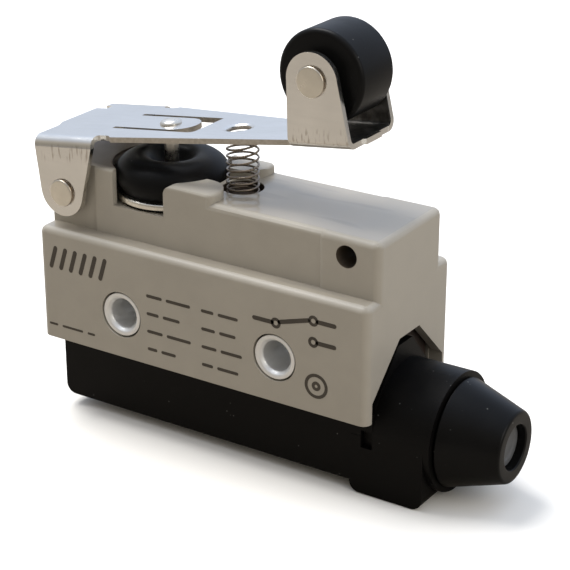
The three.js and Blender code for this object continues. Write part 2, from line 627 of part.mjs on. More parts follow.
function forkEarOutline() {
  const f = FORK;
  const low = LEVER.top - LEVER.sheet + LEVER.bend;
  const shape = new THREE.Shape();
  shape.moveTo(f.x - f.footHalf, low);
  shape.lineTo(f.x + f.footHalf, low);
  shape.lineTo(f.x + f.radius, f.z);
  shape.absarc(f.x, f.z, f.radius, 0, Math.PI);
  return shape;
}

function leverPlate() {
  const l = LEVER;
  const t = TONGUE;
  const plate = prismZ(plateOutline(), l.top - l.sheet, l.top);
  const slot = new THREE.Shape();          // the U-shaped cut that frees the tongue
  const tipRadius = t.half;
  const wide = t.half + t.slot;
  slot.moveTo(t.start, -wide);
  slot.lineTo(t.end - 1, -wide);
  slot.absarc(t.end - 1, -wide + 1, 1, -Math.PI / 2, 0);
  slot.lineTo(t.end, wide);
  slot.lineTo(t.start, wide);
  slot.lineTo(t.start, t.half);
  slot.lineTo(t.tip - tipRadius, t.half);
  slot.absarc(t.tip - tipRadius, 0, tipRadius, Math.PI / 2, -Math.PI / 2, true);
  slot.lineTo(t.start, -t.half);
  const sides = [-1, 1].flatMap((side) => {
    const outer = side * l.earHalf;
    const inner = side * (l.earHalf - l.sheet);
    const forkOuter = side * FORK.half;
    const forkInner = side * (FORK.half - l.sheet);
    const [y0, y1] = [Math.min(outer, inner), Math.max(outer, inner)];
    const [f0, f1] = [Math.min(forkOuter, forkInner), Math.max(forkOuter, forkInner)];
    const earTop = l.top - l.bend;
    return [
      bend(l.earLeft, l.earRight, l.earHalf, side, -1),
      prismY(hingeEarOutline(), y0, y1, 10).subtract(rodY(HINGE.shaft + 0.05, 0, 0, y0 - 1, y1 + 1, 24)),
      bend(FORK.x - FORK.footHalf, FORK.x + FORK.footHalf, FORK.half, side, 1),
      prismY(forkEarOutline(), f0, f1, 12).subtract(rodY(AXLE.shaft + 0.05, FORK.x, FORK.z, f0 - 1, f1 + 1, 24)),
      box(l.earLeft, l.earRight, y0, y1, earTop - 0.01, earTop + 0.01),
    ];
  });
  const dishedHole = turned([
    [0, 0], [t.hole, 0], [t.hole, l.top - 0.5], [t.hole + 0.12, l.top - 0.25], [t.hole + 0.4, l.top - 0.07],
    [t.hole + 0.75, l.top + 0.01], [t.hole + 0.75, l.top + 1], [0, l.top + 1],
  ], t.holeX, 32);
  const flat = cut(plate, prismZ(slot, 0, l.top + 1, 10), dishedHole,
    rodZ(STUD.shank + 0.03, STUD.x, 0, l.top + 1, 20));
  return join(flat, ...sides);
}

function tongueStud() {
  const s = STUD;
  const top = LEVER.top;
  const low = LEVER.top - LEVER.sheet;
  const gap = 0.03;
  return turned([
    [0, low - gap - s.footHeight], [s.foot * 0.7, low - gap - s.footHeight], [s.foot, low - gap], [s.shank, low - gap],
    [s.shank, top + gap], [s.head, top + gap], [s.head * 0.95, top + s.headHeight * 0.5],
    [s.head * 0.6, top + s.headHeight * 0.92], [0, top + s.headHeight],
  ], s.x, 20);
}

/** A shaft along Y with a riveted button head at each end. */
function headedPin({ shaft, head, headHeight }, outerHalf, x, z) {
  const seat = outerHalf + 0.03;
  const end = outerHalf + headHeight;
  const chamfer = 0.15;
  return turnedY([
    [0, -end], [head - chamfer, -end], [head, -end + chamfer], [head, -seat], [shaft, -seat],
    [shaft, seat], [head, seat], [head, end - chamfer], [head - chamfer, end], [0, end],
  ], x, z, 28);
}

function rollerWheel() {
  const r = ROLLER;
  return turnedY([
    [AXLE.bore, -r.hubHalf], [r.hub, -r.hubHalf], [r.hub, -r.half], [r.radius - r.edge, -r.half],
    [r.radius, -r.half + r.edge], [r.radius, r.half - r.edge], [r.radius - r.edge, r.half], [r.hub, r.half],
    [r.hub, r.hubHalf], [AXLE.bore, r.hubHalf], [AXLE.bore, -r.hubHalf],
  ], FORK.x, FORK.z, 48).translate([0, r.play, 0]);
}

// ---------------------------------------------------------------- assembly
const enclosure = new THREE.Group();
enclosure.add(
  piece('housing', housing(), GREY_SHELL),
  piece('base_cover', baseCover(), BLACK_SHELL),
  piece('cover_gasket', coverGasket(), RUBBER),
  piece('cover_screw_left', coverScrew(COVER_SCREW.x[0]), STEEL),
  piece('cover_screw_right', coverScrew(COVER_SCREW.x[1]), STEEL),
  piece('mounting_sleeve_left', mountingSleeve(HOLE_XS[0]), STEEL),
  piece('mounting_sleeve_right', mountingSleeve(HOLE_XS[1]), STEEL),
  piece('gland_cap', glandCap(), BLACK_SHELL),
  piece('cable_seal', cableSeal(), RUBBER),
  piece('seal_washer', sealWasher(), STEEL),
  piece('entry_blank', entryBlank(), BLACK_SHELL),
);

const actuator = new THREE.Group();
actuator.add(
  piece('plunger', plungerPin(), STEEL),
  piece('guide_bush', guideBush(), BRASS),
  piece('boot', bootBody(), RUBBER),
  piece('boot_clamp_ring', clampRing(), STEEL),
  piece('inner_button', innerButton(), WHITE_NYLON),
  piece('overtravel_spring', coil({ x: PLUNGER.x, ...OVERTRAVEL }), SPRING_STEEL),
);

const contactBlock = new THREE.Group();
contactBlock.add(
  piece('switch_base', switchBase(), BAKELITE),
  piece('switch_lid', switchLid(), BAKELITE),
  piece('snap_blade', snapBlade(), BRASS),
  piece('moving_contact', movingContact(), SILVER),
  piece('fixed_contact_closed', fixedContact(CONTACT.closedLow), SILVER),
  piece('fixed_contact_open', fixedContact(CONTACT.openHigh - CONTACT.height), SILVER),
  piece('terminal_common', terminal(TERMINALS.common), BRASS),
  piece('terminal_open', terminal(TERMINALS.open), BRASS),
  piece('terminal_closed', terminal(TERMINALS.closed), BRASS),
  piece('terminal_screw_common', terminalScrew(TERMINALS.common.screwX), STEEL),
  piece('terminal_screw_open', terminalScrew(TERMINALS.open.screwX), STEEL),
  piece('terminal_screw_closed', terminalScrew(TERMINALS.closed.screwX), STEEL),
);

const lever = new THREE.Group();
lever.position.set(HINGE.x, 0, HINGE.z);
lever.rotation.y = -LEVER.tilt;
lever.add(
  piece('lever_plate', leverPlate(), STEEL),
  piece('tongue_stud', tongueStud(), STEEL),
  piece('hinge_pin', headedPin(HINGE, LEVER.earHalf, 0, 0), STEEL),
  piece('roller_axle', headedPin(AXLE, FORK.half, FORK.x, FORK.z), STEEL),
  piece('roller', rollerWheel(), BLACK_SHELL),
);

// The external spring stands between its seat in the housing and the underside of the plate.
const plateUnderside = HINGE.z + (LEVER.top - LEVER.sheet) / Math.cos(LEVER.tilt)
  + (SPRING.x - SPRING.radius - HINGE.x) * Math.tan(LEVER.tilt);
actuator.add(piece('return_spring', coil({ ...SPRING, high: plateUnderside - 0.15 }), SPRING_STEEL));

const limitSwitch = new THREE.Group();
limitSwitch.name = 'limit_switch';
limitSwitch.position.y = MID_Y;
limitSwitch.add(enclosure, actuator, contactBlock, lever);

export default limitSwitch;
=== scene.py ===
"""Looks of the enclosed limit switch with a hinged roller lever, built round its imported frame."""

import math

import bmesh
import bpy
from mathutils import Matrix, Vector


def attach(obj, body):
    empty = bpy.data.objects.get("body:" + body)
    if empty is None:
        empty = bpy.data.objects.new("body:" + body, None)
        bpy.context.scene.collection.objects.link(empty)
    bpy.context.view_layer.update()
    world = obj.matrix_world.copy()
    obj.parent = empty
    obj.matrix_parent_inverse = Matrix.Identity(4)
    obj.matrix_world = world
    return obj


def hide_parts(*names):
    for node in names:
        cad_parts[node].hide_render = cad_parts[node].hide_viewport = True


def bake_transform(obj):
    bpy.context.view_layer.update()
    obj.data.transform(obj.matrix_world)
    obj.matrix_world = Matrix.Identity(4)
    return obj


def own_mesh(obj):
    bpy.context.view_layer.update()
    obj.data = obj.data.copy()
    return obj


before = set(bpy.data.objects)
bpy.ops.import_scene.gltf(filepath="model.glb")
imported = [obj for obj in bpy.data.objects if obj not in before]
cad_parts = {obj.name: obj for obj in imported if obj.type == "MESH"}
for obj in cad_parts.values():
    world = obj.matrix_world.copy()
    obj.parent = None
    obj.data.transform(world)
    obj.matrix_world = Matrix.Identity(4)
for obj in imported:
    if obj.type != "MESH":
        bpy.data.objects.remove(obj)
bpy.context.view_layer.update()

# Sizes and places below are in mm and are turned into metres where a mesh or a node needs them.
MM = 0.001
MID_Y = -10.8                # plane of symmetry
FRONT_Y = -21.6              # front mounting face
HOLE_X = 12.7                # from the middle to a mounting hole
HINGE = (-23.3, 15.55)       # x and z of the lever's hinge axis
TWIN_BORE = (22.05, 15.55)   # x and z of the second cross bore
BORE_RADIUS = 1.55
TILT = math.radians(7.38)    # of the lever at rest
ENTRY_Z = -9.3               # height of the cable axis
PLUNGER_X = -11.3
SPRING_X = 0.6               # return spring
TOP_Z = 18.2                 # flat top of the housing, below its raised rim
RIM_Z = 19.8                 # top of the rim under the lever's heel

CAMERA_AT = (133.3, -203.5, 103.2)
CAMERA_AZIMUTH = math.radians(33.16)
CAMERA_ELEVATION = math.radians(23.03)
FOCAL_SHARE = 1830.9 / 570   # focal length over the width of the frame
SENSOR = 36

BRIGHT_SIDE = (-0.15, 0.55, 0.82)      # direction of the brightest part of the room
ROOM_DIM = (0.14, 0.125, 0.105, 1)
ROOM_MIDDLE = (0.50, 0.47, 0.42, 1)
ROOM_BRIGHT = (0.86, 1.00, 1.26, 1)
FLOOR_PALE = (0.96, 0.92, 0.85, 1)
FLOOR_DIM = (0.40, 0.35, 0.285, 1)
FLOOR_Z = -17.9              # just under the base cover
FLOOR_REACH = 3000.0


# ---------------------------------------------------------------- node trees
class Nodes:
    """A small helper over the node tree of a material or a world."""

    def __init__(self, owner):
        owner.use_nodes = True
        self.owner = owner
        self.tree = owner.node_tree
        self.shader = self.tree.nodes.get("Principled BSDF")

    def add(self, kind, **inputs):
        node = self.tree.nodes.new(kind)
        for key, value in inputs.items():
            self.put(node, key, value)
        return node

    def put(self, node, key, value):
        socket = node.inputs[key]
        if isinstance(value, bpy.types.NodeSocket):
            self.tree.links.new(value, socket)
        else:
            socket.default_value = value

    def place(self, scale, turn_y=0.0):
        """Object coordinates in units of 1/scale metres."""
        coordinates = self.add("ShaderNodeTexCoord")
        mapping = self.add("ShaderNodeMapping", Vector=coordinates.outputs["Object"])
        mapping.inputs["Scale"].default_value = scale if hasattr(scale, "__len__") else (scale,) * 3
        mapping.inputs["Rotation"].default_value = (0, turn_y, 0)
        return mapping.outputs["Vector"]

    def noise(self, where, detail=4.0, roughness=0.55):
        node = self.add("ShaderNodeTexNoise", Vector=where, Scale=1.0, Detail=detail, Roughness=roughness)
        return node.outputs["Fac"]

    def ramp(self, factor, low, high, a=0.0, b=1.0, unit=1.0):
        """Maps factor from low..high, in units, to a..b."""
        node = self.add("ShaderNodeMapRange", Value=factor)
        node.inputs["From Min"].default_value = low * unit
        node.inputs["From Max"].default_value = high * unit
        node.inputs["To Min"].default_value = a
        node.inputs["To Max"].default_value = b
        return node.outputs["Result"]

    def within(self, value, low, high, soft, unit=1.0):
        """1 between low and high, 0 outside, with soft flanks."""
        rising = self.ramp(value, low - soft, low, unit=unit)
        return self.product(rising, self.ramp(value, high + soft, high, unit=unit))

    def mix(self, factor, a, b):
        """Mixes two colours."""
        node = self.add("ShaderNodeMix")
        node.data_type = "RGBA"
        self.put(node, 0, factor)
        self.put(node, 6, a)
        self.put(node, 7, b)
        return node.outputs[2]

    def between(self, factor, a, b):
        """Mixes two numbers."""
        node = self.add("ShaderNodeMix")
        self.put(node, 0, factor)
        self.put(node, 2, a)
        self.put(node, 3, b)
        return node.outputs[0]

    def operate(self, operation, *values):
        node = self.add("ShaderNodeMath")
        node.operation = operation
        for key, value in enumerate(values):
            self.put(node, key, value)
        return node.outputs[0]

    def product(self, first, *others):
        for other in others:
            first = self.operate("MULTIPLY", first, other)
        return first

    def vectors(self, operation, a, b):
        node = self.add("ShaderNodeVectorMath")
        node.operation = operation
        self.put(node, 0, a)
        self.put(node, 1, b)
        return node.outputs

    def parts(self, vector):
        """The x, y and z of a vector."""
        return self.add("ShaderNodeSeparateXYZ", Vector=vector).outputs

    def bump(self, *layers):
        """Each layer is (height, distance in metres, strength)."""
        normal = None
        for height, distance, strength in layers:
            node = self.add("ShaderNodeBump", Height=height, Distance=distance, Strength=strength)
            if normal is not None:
                self.put(node, "Normal", normal)
            normal = node.outputs["Normal"]
        self.put(self.shader, "Normal", normal)


def new_surface(name):
    return Nodes(bpy.data.materials.new(name))


def tone(color, factor):
    return (*[min(1.0, c * factor) for c in color], 1)


# ---------------------------------------------------------------- camera and light
def aim(obj, direction):
    """Turns a camera or light so that it looks along direction."""
    turn = Vector(direction).to_track_quat("-Z", "Y").to_matrix().to_4x4()
    obj.matrix_world = Matrix.Translation(obj.location) @ turn


def make_camera():
    camera_data = bpy.data.cameras.new("camera")
    camera_data.sensor_width = SENSOR
    camera_data.lens = SENSOR * FOCAL_SHARE
    camera_data.clip_start, camera_data.clip_end = 0.01, 10
    camera = bpy.data.objects.new("camera", camera_data)
    bpy.context.scene.collection.objects.link(camera)
    camera.location = Vector(CAMERA_AT) * MM
    back = Vector((
        math.sin(CAMERA_AZIMUTH) * math.cos(CAMERA_ELEVATION),
        -math.cos(CAMERA_AZIMUTH) * math.cos(CAMERA_ELEVATION),
        math.sin(CAMERA_ELEVATION),
    ))
    aim(camera, -back)
    bpy.context.scene.camera = camera


def square_light(name, location, target, size, power, color):
    """A soft light; location, target and size are in metres."""
    data = bpy.data.lights.new(name, "AREA")
    data.shape = "SQUARE"
    data.size = size
    data.energy = power
    data.color = color
    light = bpy.data.objects.new(name, data)
    bpy.context.scene.collection.objects.link(light)
    light.location = location
    aim(light, Vector(target) - Vector(location))


def make_world():
    """A white backdrop for the camera; for the object a bright cool ceiling and a dim warm room in front."""
    world = bpy.data.worlds.new("studio")
    bpy.context.scene.world = world
    n = Nodes(world)
    room = n.tree.nodes["Background"]
    facing = n.vectors("DOT_PRODUCT", n.add("ShaderNodeTexCoord").outputs["Generated"], BRIGHT_SIDE)
    ramp = n.add("ShaderNodeValToRGB", Fac=n.ramp(facing["Value"], -0.7, 0.85))
    stops = ramp.color_ramp
    stops.elements[0].color = ROOM_DIM
    stops.elements[1].color = ROOM_BRIGHT
    stops.elements.new(0.5).color = ROOM_MIDDLE
    n.put(room, "Color", ramp.outputs["Color"])
    backdrop = n.add("ShaderNodeBackground", Color=(1, 1, 1, 1))
    seen = n.add("ShaderNodeLightPath").outputs["Is Camera Ray"]
    choose = n.add("ShaderNodeMixShader", Fac=seen)
    n.put(choose, 1, room.outputs["Background"])
    n.put(choose, 2, backdrop.outputs["Background"])
    n.put(n.tree.nodes["World Output"], "Surface", choose.outputs["Shader"])


def make_floor():
    """A floor that looks pale, but throws little light back up at the bare metal."""
    mesh = bpy.data.meshes.new("floor")
    r = FLOOR_REACH * MM
    z = FLOOR_Z * MM
    mesh.from_pydata([(-r, -r, z), (r, -r, z), (r, r, z), (-r, r, z)], [], [(0, 1, 2, 3)])
    floor = bpy.data.objects.new("floor", mesh)
    bpy.context.scene.collection.objects.link(floor)
    n = new_surface("floor")
    path = n.add("ShaderNodeLightPath").outputs
    first_bounce = n.operate("COMPARE", path["Ray Depth"], 1.0, 0.5)
    dim = n.operate("MAXIMUM", first_bounce, path["Is Diffuse Ray"])
    n.put(n.shader, "Base Color", n.mix(dim, FLOOR_PALE, FLOOR_DIM))
    n.shader.inputs["Roughness"].default_value = 0.9
    n.shader.inputs["Specular IOR Level"].default_value = 0.1
    mesh.materials.append(n.owner)


def make_studio():
    bpy.context.scene.view_settings.view_transform = "Standard"
    make_world()
    square_light("key", (-0.22, 0.02, 0.50), (0, 0, 0.01), 0.28, 3.0, (1.0, 0.99, 0.98))
    square_light("side", (0.50, -0.10, 0.28), (0, 0, 0.0), 0.30, 0.9, (1.0, 0.97, 0.92))
    make_floor()


make_camera()
make_studio()


# ---------------------------------------------------------------- plastics
def dusted(n, skin, dust):
    """Single pale specks, in patches."""
    spots = n.add("ShaderNodeTexVoronoi", Vector=n.place(750), Scale=1.0)
    sparse = n.ramp(n.noise(n.place(420), 2), 0.56, 0.60)
    spot = n.ramp(spots.outputs["Distance"], 0.10, 0.03)
    return n.mix(n.product(sparse, spot), skin, (dust, dust, dust * 0.95, 1))


def wear_and_painted_shade(n, skin, cloud, gloss):
    """The housing's wear and painted shade: a glossy rubbed top, painted shade under the lever and painted
    shade in the second bore.
    """
    coordinates = n.add("ShaderNodeTexCoord")
    facing = n.parts(coordinates.outputs["Normal"])
    place = n.parts(coordinates.outputs["Object"])

    top = n.product(
        n.ramp(facing["Z"], 0.97, 0.995),
        n.ramp(place["Z"], TOP_Z + 0.5, TOP_Z + 0.2, unit=MM))
    worn = n.mix(n.ramp(cloud, 0.3, 0.7), tone(TOP_GREY, 0.80), tone(TOP_GREY, 0.86))
    rubs = n.noise(n.place((70, 420, 420), 0.3), 2, 0.4)
    worn = n.mix(n.ramp(rubs, 0.60, 0.68, 0.0, 0.5), worn, tone(GREY, 0.62))
    skin = n.mix(top, skin, worn)
    n.put(n.shader, "Coat Weight", n.ramp(top, 0.0, 1.0, 0.0, gloss))
    n.shader.inputs["Coat Roughness"].default_value = 0.06

    # Painted shade: the flat top under the lever's heel is darkened where the lever shades it.
    shade_under_lever = n.product(
        n.ramp(place["Z"], RIM_Z - 0.5, RIM_Z - 0.2, unit=MM),
        n.ramp(place["X"], -13.0, -14.0, unit=MM),
        n.within(place["Y"], MID_Y - 6.6, MID_Y + 6.6, 1.1, MM))
    skin = n.mix(shade_under_lever, skin, UNDER_LEVER_SHADE)

    # Painted shade: the wall of the second cross bore is painted dark brown, as shade falls inside it.
    side_view = n.add("ShaderNodeCombineXYZ", X=place["X"], Z=place["Z"])
    bore_axis = Vector((TWIN_BORE[0], 0, TWIN_BORE[1])) * MM
    from_bore = n.vectors("DISTANCE", side_view.outputs["Vector"], bore_axis)["Value"]
    in_bore = n.product(
        n.ramp(from_bore, BORE_RADIUS + 0.07, BORE_RADIUS + 0.01, unit=MM),
        n.ramp(facing["Y"], -0.8, -0.5))
    return n.mix(in_bore, skin, BORE_SHADE)


def coated(name, color, roughness, grain, relief, spread=0.04, specular=0.5, gloss_on_top=0.0, dust=0.0):
    """Paint or moulded plastic: mottled colour, uneven gloss, a fine skin and, on black pieces, dust."""
    n = new_surface(name)
    cloud = n.noise(n.place(260), 3)
    speck = n.noise(n.place(grain), 3, 0.6)
    mottled = n.mix(n.ramp(cloud, 0.3, 0.7), tone(color, 1 - spread), tone(color, 1 + spread))
    skin = n.mix(n.ramp(speck, 0.62, 0.78), mottled, tone(color, 1 - 2.5 * spread))
    if dust:
        skin = dusted(n, skin, dust)
    # On the housing this also paints shade under the lever and in the second bore, besides the rubbed glossy
    # top.
    if gloss_on_top:
        skin = wear_and_painted_shade(n, skin, cloud, gloss_on_top)
    n.put(n.shader, "Base Color", skin)
    n.put(n.shader, "Roughness", n.ramp(cloud, 0.25, 0.75, roughness - 0.05, roughness + 0.06))
    n.shader.inputs["Specular IOR Level"].default_value = specular
    swell = n.noise(n.place(grain * 0.25), 2)
    n.bump((swell, 3e-5, relief * 0.6), (speck, 1.2e-5, relief))
    return n.owner


# ---------------------------------------------------------------- metals
def metal(name, color, roughness, along=(1, 1, 1), relief=0.12, streak=0.55, rim=None, metallic=1.0):
    """Bare metal: fine directional grain, stains and small scratches; rim, when given, is a painted shade on
    what doesn't face Y.
    """
    n = new_surface(name)
    grain = n.noise(n.place([900 * a for a in along]), 5, 0.65)
    cloud = n.noise(n.place(180), 3)
    scratches = n.noise(n.place([2600 * a for a in along], 0.25), 1, 0.4)
    base = n.mix(n.ramp(cloud, 0.3, 0.7), tone(color, 0.93), tone(color, 1.05))
    skin = n.mix(n.ramp(grain, 0.35, 0.7, 0.0, streak), base, tone(color, 0.82))
    # Painted shade: faces that don't face Y, the side walls of the heads, take the dark rim colour.
    if rim:
        facing = n.parts(n.add("ShaderNodeTexCoord").outputs["Normal"])
        side_shade_mask = n.ramp(n.operate("ABSOLUTE", facing["Y"]), 0.75, 0.35)
        skin = n.mix(side_shade_mask, skin, (*rim, 1))
    n.put(n.shader, "Base Color", skin)
    n.shader.inputs["Metallic"].default_value = metallic
    n.put(n.shader, "Roughness", n.ramp(grain, 0.3, 0.7, roughness - 0.06, roughness + 0.15))
    n.bump((grain, 1.5e-5, relief), (n.ramp(scratches, 0.66, 0.74), 8e-6, relief * 1.2))
    return n.owner


def lever_places(n):
    """Where a point lies and faces in the untilted lever: along it from the hinge, across, and up."""
    hinge = Vector((HINGE[0], MID_Y, HINGE[1])) * MM
    coordinates = n.add("ShaderNodeTexCoord").outputs
    untilted = n.add("ShaderNodeVectorRotate", Vector=coordinates["Object"], Center=hinge, Angle=TILT)
    untilted.rotation_type = "Y_AXIS"
    place = n.parts(n.vectors("SUBTRACT", untilted.outputs["Vector"], hinge)["Vector"])
    facing = n.add("ShaderNodeVectorRotate", Vector=coordinates["Normal"], Angle=TILT)
    facing.rotation_type = "Y_AXIS"
    return place, n.parts(facing.outputs["Vector"])


def sheet_steel():
    """Bright rolled sheet of the lever: smooth faces, sheared edges, scuffs by the folds, a dark fork."""
    n = new_surface("lever_steel")
    place, facing = lever_places(n)

    edge = n.product(
        n.within(facing["Z"], -0.30, 0.30, 0.15),
        n.within(place["X"], 7.6, 35.4, 0.2, MM),
        n.within(place["Z"], 7.2, 8.05, 0.05, MM))
    sideways = n.ramp(n.operate("ABSOLUTE", facing["Y"]), 0.7, 0.95)
    below_heel = n.product(
        n.within(place["Z"], 5.0, 6.3, 0.8, MM), sideways,
        n.ramp(place["X"], 7.0, 6.0, unit=MM))
    foot_of_fork = n.product(
        n.within(place["Z"], 8.2, 9.4, 0.9, MM), sideways,
        n.ramp(place["X"], 36.0, 37.0, unit=MM))
    brush = n.noise(n.place((2600, 2600, 420), TILT), 2, 0.5)
    scuffs = n.product(
        n.operate("MAXIMUM", below_heel, foot_of_fork),
        n.ramp(brush, 0.55, 0.66, 0.0, 0.5))
    inside_fork = n.product(
        n.within(place["X"], 36.6, 45.0, 0.3, MM),
        n.ramp(n.operate("ABSOLUTE", place["Y"]), 5.4, 5.05, unit=MM),
        n.ramp(place["Z"], 7.5, 7.9, unit=MM),
        n.ramp(place["Z"], 12.8, 9.8, unit=MM))

    grain = n.noise(n.place((110, 2000, 2000), TILT), 4, 0.6)
    cloud = n.noise(n.place(150), 3)
    scratches = n.noise(n.place((300, 3600, 3600), TILT + 0.5), 1, 0.4)
    torn = n.noise(n.place(2400), 3, 0.6)
    dark_patches = n.ramp(n.noise(n.place(700), 3), 0.25, 0.75, 0.7, 1.0)

    skin = n.mix(n.ramp(cloud, 0.3, 0.7), tone(SHEET, 0.95), tone(SHEET, 1.04))
    skin = n.mix(n.ramp(grain, 0.35, 0.7, 0.0, 0.22), skin, tone(SHEET, 0.86))
    skin = n.mix(scuffs, skin, (0.20, 0.15, 0.10, 1))
    # Near black inside the fork, in patches.
    skin = n.mix(n.product(inside_fork, dark_patches), skin, (0.045, 0.040, 0.035, 1))
    sheared = n.mix(n.ramp(torn, 0.35, 0.65), (0.41, 0.37, 0.315, 1), (0.50, 0.46, 0.405, 1))
    n.put(n.shader, "Base Color", n.mix(edge, skin, sheared))
    n.shader.inputs["Metallic"].default_value = 1.0
    smooth = n.ramp(grain, 0.3, 0.7, 0.15, 0.24)
    n.put(n.shader, "Roughness", n.between(n.operate("MAXIMUM", edge, inside_fork), smooth, 0.45))
    n.bump((grain, 1.0e-5, 0.05), (n.ramp(scratches, 0.68, 0.74), 6e-6, 0.08))
    return n.owner


GREY = (0.388, 0.355, 0.298)
TOP_GREY = (0.40, 0.355, 0.285)
BLACK = (0.0045, 0.0043, 0.0042)
SHEET = (0.68, 0.655, 0.61)
# Colour of the painted shade under the lever's heel.
UNDER_LEVER_SHADE = (0.12, 0.092, 0.066, 1)
# Colour of the painted shade inside the second bore.
BORE_SHADE = (0.085, 0.066, 0.048, 1)
MATERIALS = {
    "paint": coated(
        "grey_paint", GREY, roughness=0.44, grain=5200, relief=0.16, spread=0.03, specular=0.34,
        gloss_on_top=0.52),
    "print": coated(
        "grey_print", (0.070, 0.060, 0.048), roughness=0.6, grain=9000, relief=0.2, spread=0.12,
        specular=0.2),
    "cover": coated(
        "black_cover", (0.0026, 0.0023, 0.0021), roughness=0.46, grain=7000, relief=0.22, spread=0.12,
        specular=0.11, dust=0.10),
    "cap": coated(
        "black_cap", (0.0036, 0.0034, 0.0033), roughness=0.34, grain=6000, relief=0.14, spread=0.12,
        specular=0.12, dust=0.20),
    "blank": coated(
        "grey_blank", (0.11, 0.112, 0.115), roughness=0.5, grain=4000, relief=0.2, spread=0.10,
        specular=0.3),
    "roller": coated(
        "black_roller", BLACK, roughness=0.38, grain=5600, relief=0.2, spread=0.15, specular=0.11,
        dust=0.08),
    "rubber": coated(
        "black_rubber", BLACK, roughness=0.42, grain=3800, relief=0.08, spread=0.15, specular=0.10,
        dust=0.14),
    # Painted shade for the spring's recess.
    "recess_shade": coated(
        "painted_recess_shade", (0.060, 0.043, 0.030), roughness=0.6, grain=3500, relief=0.2, spread=0.15,
        specular=0.2),
    "bakelite": coated(
        "brown_bakelite", (0.030, 0.018, 0.013), roughness=0.45, grain=3500, relief=0.2, spread=0.15),
    "nylon": coated("white_nylon", (0.70, 0.66, 0.58), roughness=0.45, grain=3000, relief=0.1),
    "steel": sheet_steel(),
    "pin": metal("pin_steel", (0.66, 0.62, 0.55), roughness=0.26, streak=0.3),
    # The heads' dark rim colour is a painted shade on their side walls.
    "head": metal(
        "head_steel", (0.66, 0.61, 0.52), roughness=0.30, along=(0.6, 0.6, 0.6), relief=0.05,
        streak=0.12, rim=(0.17, 0.125, 0.085)),
    "sleeve": metal(
        "sleeve_steel", (0.77, 0.765, 0.75), roughness=0.36, along=(1.4, 0.16, 1.4), streak=0.1,
        metallic=0.62),
    "ring": metal("ring_steel", (0.72, 0.68, 0.60), roughness=0.24, along=(1, 1, 0.3), streak=0.3),
    "spring": metal("spring_steel", (0.215, 0.178, 0.142), roughness=0.27),
    "brass": metal("contact_brass", (0.62, 0.44, 0.17), roughness=0.32, along=(0.3, 1.5, 1.5)),
    "silver": metal("contact_silver", (0.82, 0.81, 0.79), roughness=0.28),
}


def dress(obj, look):
    obj.data.materials.clear()
    obj.data.materials.append(MATERIALS[look])


# ---------------------------------------------------------------- carried-over CAD nodes
def soften(name, look, width):
    """Keeps a CAD node and gives its sharp edges a small round of this width."""
    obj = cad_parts[name]
    dress(obj, look)
    obj.data.shade_smooth()
    if "custom_normal" in obj.data.attributes:
        obj.data.attributes.remove(obj.data.attributes["custom_normal"])
    weld = obj.modifiers.new("weld", "WELD")
    weld.merge_threshold = 2e-6
    if name != "housing":       # merging flat faces leaves dark wedges on its rounded horns
        flat = obj.modifiers.new("flatten", "DECIMATE")
        flat.decimate_type = "DISSOLVE"
        flat.angle_limit = math.radians(0.6)
    if width:
        bevel = obj.modifiers.new("round", "BEVEL")
        bevel.width = width * MM
        bevel.segments = 2
        bevel.limit_method = "ANGLE"
        bevel.angle_limit = math.radians(30)
        bevel.harden_normals = True
        bevel.use_clamp_overlap = True
    weighted = obj.modifiers.new("normals", "WEIGHTED_NORMAL")
    weighted.keep_sharp = True
    weighted.weight = 80


# ---------------------------------------------------------------- tools for new pieces
def finish_piece(name, mesh, look, body, node, sharp=42):
    """Makes the object; edges over sharp degrees stay sharp."""
    obj = bpy.data.objects.new(name, mesh)
    bpy.context.scene.collection.objects.link(obj)
    mesh.shade_smooth()
    mesh.set_sharp_from_angle(angle=math.radians(sharp))
    dress(obj, look)
    if body:
        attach(obj, body)
    if node:
        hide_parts(node)
    return obj


def mesh_from(name, build, place):
    """Ends a bmesh made in mm, with its faces turned outwards and place applied."""
    bmesh.ops.recalc_face_normals(build, faces=build.faces)
    build.transform(Matrix.Scale(MM, 4) @ place)
    mesh = bpy.data.meshes.new(name)
    build.to_mesh(mesh)
    build.free()
    return mesh


def bridge(build, a, b):
    """Faces between two rings of vertices; a ring of one vertex is a pole."""
    for k in range(max(len(a), len(b))):
        j = k + 1
        corners = [a[k % len(a)], a[j % len(a)], b[j % len(b)], b[k % len(b)]]
        face = list(dict.fromkeys(corners))
        if len(face) > 2:
            build.faces.new(face)


def rounded(profile, steps=5):
    """Fillets a closed or open profile of (radius, height[, fillet]) points in mm."""
    closed = profile[0][:2] == profile[-1][:2]
    points = profile[:-1] if closed else profile
    out = []
    for i, point in enumerate(points):
        here = Vector(point[:2])
        fillet = point[2] if len(point) > 2 else 0
        if not fillet or (not closed and i in (0, len(points) - 1)):
            out.append(here)
            continue
        before = Vector(points[i - 1][:2]) - here
        after = Vector(points[(i + 1) % len(points)][:2]) - here
        reach = min(fillet, before.length * 0.49, after.length * 0.49)      # neighbours never meet
        start = here + before.normalized() * reach
        end = here + after.normalized() * reach
        for k in range(steps + 1):
            t = k / steps
            out.append(start * (1 - t) ** 2 + here * 2 * t * (1 - t) + end * t * t)
    if closed:
        out.append(out[0])
    return out


